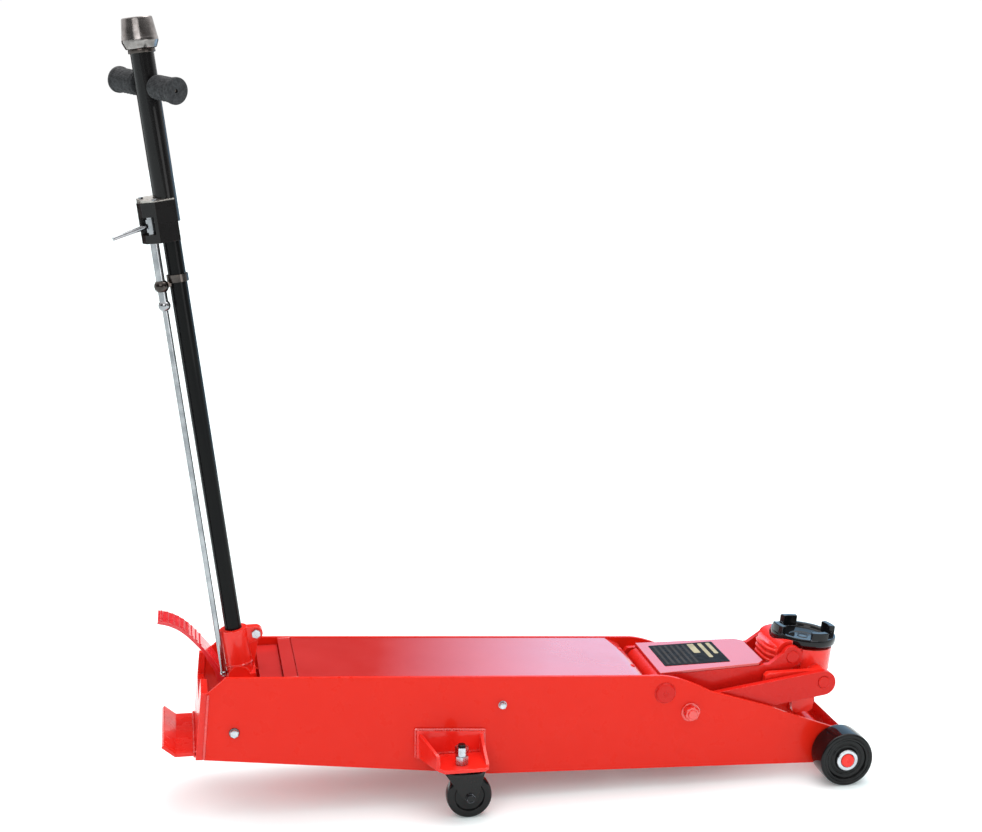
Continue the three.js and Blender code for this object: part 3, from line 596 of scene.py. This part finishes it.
# Casting ridges round the back of the neck.
bm = bmesh.new()
turns = [math.pi / 2 * k / 10 for k in range(11)]
corner = [(-59 - 40 * math.cos(a), 20 + 40 * math.sin(a)) for a in turns]
around = [(-20, 60)] + corner[::-1] + [(u, -v) for u, v in corner] + [(-20, -60)]
for height in (-14, -27, -40):
    pipe(bm, [cup_point(u, v, height) for u, v in around], 4.2, 12)
finish_piece("neck_ridges", bm, CAST_RED, "head")

# ------------------------------------------------------------------ fasteners on the side plates
SIDE_FACE = 0.137  # the side plates' outer faces, either side of the middle
PROUD = 0.0003  # a fastener's gap to the plate under it
shaft, stud = middle("arm_pivot_shaft"), middle("link_stud_right")
for side, sign in SIGN.items():
    face = sign * SIDE_FACE
    place = Matrix.Translation(Vector((shaft.x, face, shaft.z))) @ OUTWARDS[sign]
    boss = [(20.2, 0), (22.6, 0), (22.6, 3.6), (20.4, 6), (6, 7), (4.6, 5.4), (0, 5)]
    bm = bmesh.new()
    lathe(bm, fillet(boss, 1.2, 3), place, 64)
    weld(bm, ring_points(place, 23), 2.2)
    finish_piece(f"pivot_boss_{side}", bm, LINK_RED, "frame")
    bm = bmesh.new()
    place = Matrix.Translation(Vector((stud.x, face + sign * PROUD, stud.z))) @ OUTWARDS[sign]
    washer(bm, place, 11.5, 22, 2.6)
    hex_head(bm, place @ Matrix.Translation((0, 0, 0.0026)), 31, 13, 0.25, 0.4)
    lathe(bm, fillet([(0, 14), (10.6, 14), (10.6, 18.6), (9.4, 20), (0, 20)], 0.6, 3), place, 40)
    finish_piece(f"link_nut_{side}", bm, GLOSS_RED, "frame", bevel=0.7, segments=2)
for name, node, radius, across, turn, washer_metal in (
    ("tie", "tie_rod", 7.4, 14.5, 0.2, ZINC),
    ("shaft", "pedal_shaft", 9.9, 17, 0.5, DARK_STEEL),
):
    centre = middle(node)
    for side, sign in SIGN.items():
        face = sign * (SIDE_FACE + PROUD)
        place = Matrix.Translation(Vector((centre.x, face, centre.z))) @ OUTWARDS[sign]
        bm = bmesh.new()
        washer(bm, place, radius + 0.2, across * 0.66, 1.8)
        finish_piece(f"{name}_washer_{side}", bm, washer_metal, "frame")
        bm = bmesh.new()
        hex_head(bm, place @ Matrix.Translation((0, 0, 0.002)), across, 6.4, turn, 0.8)
        finish_piece(f"{name}_bolt_head_{side}", bm, ZINC, "frame", bevel=0.5, segments=2)
    bm = bmesh.new()
    pipe(bm, [Vector((centre.x, y, centre.z)) for y in (-0.1385, 0.1385)], radius, 32)
    finish_piece(node + "_turned", bm, ZINC, "frame", [node], 0.4, 2)

# ------------------------------------------------------------------ cross bar, grips and cap
def cross_hatch(angle, height):
    """The grips' slanting ridges, along the middle of their length only."""
    return 0.45 * math.sin(26 * angle + height * 0.55) if 36 < height < 95 else 0


for side, sign in SIGN.items():
    place = TEE @ OUTWARDS[sign]
    knurl = [(25 if k % 2 else 24.3, 37 + 1.5 * k) for k in range(39)]
    outer = [(11.4, 29.2), (20.6, 29.2), (21.5, 30), (21.5, 33), (24.4, 35.2)] + knurl
    outer += [
        (25, 96), (27.2, 97.4), (27.5, 99), (27.5, 103.4), (26.2, 105),
        (10, 105), (7.5, 103.6), (4, 103.6), (4, 101), (11.4, 100.6),
    ]
    bm = bmesh.new()
    lathe(bm, outer, place, 104, True, cross_hatch)
    finish_piece(f"grip_{side}_moulded", bm, RUBBER, "handle", ["grip_" + side], angle=50)
bm = bmesh.new()
cap = [
    (0, 1252.5), (30, 1252.5), (31.5, 1253.6), (36.2, 1264.5), (37, 1267), (37, 1271.6),
    (36.4, 1274.4), (31.4, 1312.4), (30.2, 1314.6), (25.4, 1315), (23.6, 1313.6), (21.2, 1301.4),
    (19, 1300), (6, 1300), (4.6, 1297.4), (0, 1296.6),
]
lathe(bm, fillet(cap, 1.4, 3), HANDLE, 72)
finish_piece("end_cap_turned", bm, CAP_STEEL, "handle", ["end_cap"])
bm = bmesh.new()
lathe(bm, fillet([(24.3, 1244), (27.5, 1244), (27.5, 1252), (24.3, 1252)], 1, 3, True), HANDLE, 64, True)
finish_piece("cap_collar", bm, DARK_STEEL, "handle")

# The milled top of the release block, a wedge that is open at the front round the tube.
BLOCK_LOW = 946.2
BLOCK_HIGH = 948
SCREW_SUNK = 0.0004


def wedge_rise(v):
    """How far the wedge's top rises across the handle, in millimetres."""
    return 0.14 * (v + 35)


def block_point(u, v, w):
    rise = wedge_rise(v) if w > BLOCK_LOW else 0
    return HANDLE @ Vector((u * MM, v * MM, (w + rise) * MM))


arc = [math.radians(-68 - 224 * k / 24) for k in range(25)]
plan = [(8, 30), (-30, 33), (-54, 23.4), (-56, -6), (-37.6, -35), (8, -29)]
plan += [(24.8 * math.cos(a), 24.8 * math.sin(a)) for a in arc]
bm = bmesh.new()
prism(bm, plan, BLOCK_LOW, BLOCK_HIGH, block_point)
finish_piece("block_top", bm, BLOCK_TOP, "handle", bevel=0.5, segments=2)
bm = bmesh.new()
for u, v in ((-47, 14), (-34, -25)):
    top = BLOCK_HIGH + wedge_rise(v)
    screw = HANDLE @ Matrix.Translation((u * MM, v * MM, top * MM - SCREW_SUNK))
    hex_head(bm, screw, 9, 3.4, 0.3, -0.6)
finish_piece("block_screws", bm, ZINC, "handle", bevel=0.3, segments=2)

# ------------------------------------------------------------------ label and rivets on the covers
def cover_point(u, v, w):
    """Millimetres from the axle, across, and above the arm cover's sloping top."""
    return at(u, v, 261 + 0.0148 * (u + 420) + w)


def sheet(bm, x0, x1, y0, y1, low, high):
    prism(bm, fillet([(x0, y0), (x1, y0), (x1, y1), (x0, y1)], 4, 4, True), low, high, cover_point)


bm = bmesh.new()
sheet(bm, -396, -239, -64, 74, 0.05, 0.7)
finish_piece("arm_label", bm, FILM, "arm", bevel=0.2, segments=1)
bm = bmesh.new()
for x0, x1, y0, y1 in ((-304, -288, 4, 66), (-278, -268, -30, 66), (-258, -248, -8, 66)):
    sheet(bm, x0, x1, y0, y1, 0.7, 0.95)
finish_piece("arm_label_bands", bm, FILM_BAND, "arm")
bm = bmesh.new()
for k in range(6):
    sheet(bm, -388 + 14 * k, -382 + 14 * k, -56, 66, 0.7, 0.95)
finish_piece("arm_label_lines", bm, FILM_LINE, "arm")

# The flat deck between the rear strip and the handle socket.
bm = bmesh.new()
low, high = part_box("rear_crossmember")
prism(bm, [(-1316, 290), (-1267, 290), (-1267, 297), (-1316, 297)], low[1] / MM + 1, high[1] / MM - 1, xz)
finish_piece("rear_deck", bm, COVER_RED, "frame", bevel=0.8, segments=2)
# Two rivets on the cover's sloping front flange, which falls 15.3 mm in 34.
flange = Matrix.Rotation(math.atan2(15.3, 34), 4, "Y")
bm = bmesh.new()
for y in (71, -40):
    rivet = [(5.6, -0.6), (5.6, 0.8), (4.6, 2.2), (2.4, 3), (0, 3.2)]
    lathe(bm, rivet, Matrix.Translation(at(-466, y, 258.6)) @ flange, 24)
finish_piece("flange_rivets", bm, RED, "frame")

# ------------------------------------------------------------------ welds
bm = bmesh.new()
for sign in (-1, 1):
    y = 138 * sign
    weld(bm, [at(-1440.5, y, 141), at(-1428, y, 286)], 3.2)
    bracket = ((-984, 114), (-984, 178), (-831, 168), (-831, 114))
    weld(bm, [at(x, 139.5 * sign, z) for x, z in bracket], 3.4)
    weld(bm, [at(-974, 146.5 * sign, 122.5), at(-840, 146.5 * sign, 122.5)], 3.2)
    weld(bm, ring_points(Matrix.Translation(at(0, 137.6 * sign, 63)) @ OUTWARDS[sign], 17), 2.4)
    weld(bm, [at(-1237, 127.5 * sign, 309.6), at(-1266, 127.5 * sign, 309.6)], 2.4)
weld(bm, [at(-1459.5, -115, 150), at(-1459.5, 115, 150)], 3.2)
weld(bm, [at(-1459.5, -115, 138.6), at(-1459.5, 115, 138.6)], 2.6)
finish_piece("frame_welds", bm, WELD_RED, "frame")
bm = bmesh.new()
weld(bm, ring_points(HANDLE @ Matrix.Translation((0, 0, -0.0745)), 30.4, 48), 2.6)
finish_piece("socket_weld", bm, WELD_RED, "handle")

# ------------------------------------------------------------------ pedal tread
tread = [(-1531, 396), (-1510, 391), (-1485, 379), (-1463, 361), (-1442, 338), (-1421, 312), (-1402, 284)]
walk = [Vector(p) for p in fillet(tread, 14, 5)]
lengths = [0.0]
for a, b in zip(walk, walk[1:]):
    lengths.append(lengths[-1] + (b - a).length)
TOOTH_STEP = 13.0
TREAD_LENGTH = 118
bm = bmesh.new()
position = 8.0
while position < min(TREAD_LENGTH, lengths[-1] - 6):
    k = max(i for i, total in enumerate(lengths) if total <= position)
    a, b = walk[k], walk[k + 1]
    here = a.lerp(b, (position - lengths[k]) / (lengths[k + 1] - lengths[k]))
    along = (b - a).normalized()
    up = Vector((-along.y, along.x))
    section = ((-4.2, -0.6), (4.2, -0.6), (1.6, 2.4), (-2.4, 2.4))
    tooth = [here + along * u + up * v for u, v in section]
    prism(bm, [tuple(p) for p in tooth], 41, 113, xz)
    position += TOOTH_STEP
finish_piece("pedal_teeth", bm, TREAD_RED, "pedal", bevel=0.4, segments=2)

# ------------------------------------------------------------------ camera, floor and light
camera_data = bpy.data.cameras.new("camera")
camera_data.lens = 58.35
camera_data.sensor_width = 36
camera_data.sensor_fit = "HORIZONTAL"
camera = bpy.data.objects.new("camera", camera_data)
bpy.context.scene.collection.objects.link(camera)
yaw, pitch, roll = 0.1942, 0.198, 0.0114
camera.matrix_world = (
    Matrix.Translation(at(-1461.8, -3382.8, 1535.8))
    @ Matrix.Rotation(-yaw, 4, "Z")
    @ Matrix.Rotation(math.pi / 2 - pitch, 4, "X")
    @ Matrix.Rotation(roll, 4, "Z")
)
bpy.context.scene.camera = camera


def stage_plane(name, size, matrix, material):
    bm = bmesh.new()
    bmesh.ops.create_grid(bm, x_segments=1, y_segments=1, size=size / 2)
    mesh = bpy.data.meshes.new(name)
    bm.to_mesh(mesh)
    bm.free()
    mesh.materials.append(material)
    plane = bpy.data.objects.new(name, mesh)
    plane.matrix_world = matrix
    bpy.context.scene.collection.objects.link(plane)
    return plane


# The floor glows faintly: painted light that lightens the jack's undersides and the shadow beneath it. Its
# slight cyan tint offsets the red light bounced into that shadow.
floor_nodes = Nodes("floor")
floor_colour = floor_nodes.mix(floor_nodes.noise(2, 3), (0.87, 0.94, 0.945), (0.85, 0.92, 0.925))
floor_nodes.link(floor_colour, floor_nodes.shader.inputs["Base Color"])
floor_nodes.set(Roughness=0.75, Emission_Color=(0.86, 1, 1, 1), Emission_Strength=0.14)
stage_plane("floor", 60, Matrix.Identity(4), floor_nodes.material)


def reflection_card(name, middle_x, length, material):
    """An upright card beside the jack that only mirror-like reflections see."""
    card = stage_plane(
        name, 1.0,
        Matrix.Translation((middle_x, 1.5, 1.05))
        @ Matrix.Rotation(math.pi / 2, 4, "X")
        @ Matrix.Diagonal((length, 1.3, 1, 1)),
        material,
    )
    card.visible_camera = False
    card.visible_shadow = False
    card.visible_diffuse = False


dark_nodes = Nodes("dark_card")
dark_nodes.set(Base_Color=(0.02, 0.004, 0.004, 1), Roughness=1.0)
reflection_card("dark_card", -1.12, 2.25, dark_nodes.material)
# A cool bright card beside it gives the covers their pale glare.
cool_nodes = Nodes("cool_card")
cool_nodes.set(Base_Color=(0, 0, 0, 1), Emission_Color=(0.45, 0.72, 1, 1))
across = cool_nodes.add("ShaderNodeSeparateXYZ")
cool_nodes.link(cool_nodes.place, across.inputs["Vector"])
fade = cool_nodes.remap(across.outputs["X"], -0.5, -0.26, 0, 1.58)
cool_nodes.link(fade, cool_nodes.shader.inputs["Emission Strength"])
reflection_card("cool_card", 1.405, 2.8, cool_nodes.material)

# A white backdrop behind the jack and overhead, and a dimmer room on the camera's side.
world = bpy.data.worlds.new("studio")
world.use_nodes = True
sky = world.node_tree


def sky_node(kind, **values):
    node = sky.nodes.new(kind)
    for key, value in values.items():
        setattr(node, key, value)
    return node


def sky_ramp(source, low, high, to_low, to_high):
    node = sky_node("ShaderNodeMapRange", interpolation_type="SMOOTHSTEP")
    for socket, value in zip(RANGE_SOCKETS, (low, high, to_low, to_high)):
        node.inputs[socket].default_value = value
    sky.links.new(source, node.inputs["Value"])
    return node.outputs["Result"]


way = sky_node("ShaderNodeSeparateXYZ")
sky.links.new(sky_node("ShaderNodeTexCoord").outputs["Generated"], way.inputs["Vector"])
total = sky_node("ShaderNodeMath", operation="ADD")
sky.links.new(sky_ramp(way.outputs["Y"], -0.3, 0.45, 0.14, 1.02), total.inputs[0])
sky.links.new(sky_ramp(way.outputs["Z"], 0.3, 0.95, 0.0, 1.3), total.inputs[1])
# Seen directly, the backdrop is white all round.
seen = sky_node("ShaderNodeMath", operation="MAXIMUM")
sky.links.new(total.outputs["Value"], seen.inputs[0])
sky.links.new(sky_node("ShaderNodeLightPath").outputs["Is Camera Ray"], seen.inputs[1])
sky.nodes["Background"].inputs["Color"].default_value = (1, 1, 1, 1)
sky.links.new(seen.outputs["Value"], sky.nodes["Background"].inputs["Strength"])
bpy.context.scene.world = world
bpy.context.scene.view_settings.view_transform = "Standard"


def area_light(name, place, target, size, power):
    data = bpy.data.lights.new(name, "AREA")
    data.shape = "RECTANGLE"
    data.size, data.size_y = size
    data.energy = power
    light = bpy.data.objects.new(name, data)
    aim = (Vector(target) - Vector(place)).to_track_quat("-Z", "Y")
    light.matrix_world = Matrix.Translation(place) @ aim.to_matrix().to_4x4()
    bpy.context.scene.collection.objects.link(light)


area_light("key", (-1.6, -3.2, 2.6), (0, 0, 0.3), (2.2, 1.6), 30)
area_light("front", (1.8, -3.0, 1.2), (0, 0, 0.2), (1.6, 1.2), 12)
area_light("top", (0.2, 0.4, 3.4), (0, 0, 0.2), (2.6, 1.6), 40)
